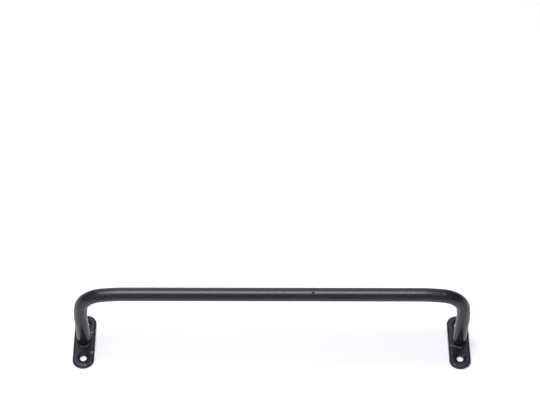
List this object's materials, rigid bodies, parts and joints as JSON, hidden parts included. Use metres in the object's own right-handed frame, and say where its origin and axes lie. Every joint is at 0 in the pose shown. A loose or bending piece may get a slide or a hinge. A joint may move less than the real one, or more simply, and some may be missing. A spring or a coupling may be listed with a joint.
{
  "type": "bed assist rail",
  "caption": "Low black steel grab rail: a long straight round bar bent down at both ends onto flat oval foot plates with countersunk screw holes.",
  "frame": {"origin": "midway between the two feet, on the surface that they are screwed to", "axes": "+X along the grip bar, +Y across it along the foot plates, +Z out of the mounting surface towards the bar"},
  "size_m": [0.634, 0.097, 0.1542],
  "materials": {
    "black_paint": "satin black powder coat on steel, fine orange peel",
    "painted_weld": "satin black powder coat over a hand-made weld"
  },
  "bodies": {
    "root": {"grip_tube": "black_paint", "left_foot": "black_paint", "right_foot": "black_paint", "left_weld": "painted_weld", "right_weld": "painted_weld"}
  },
  "joints": []
}
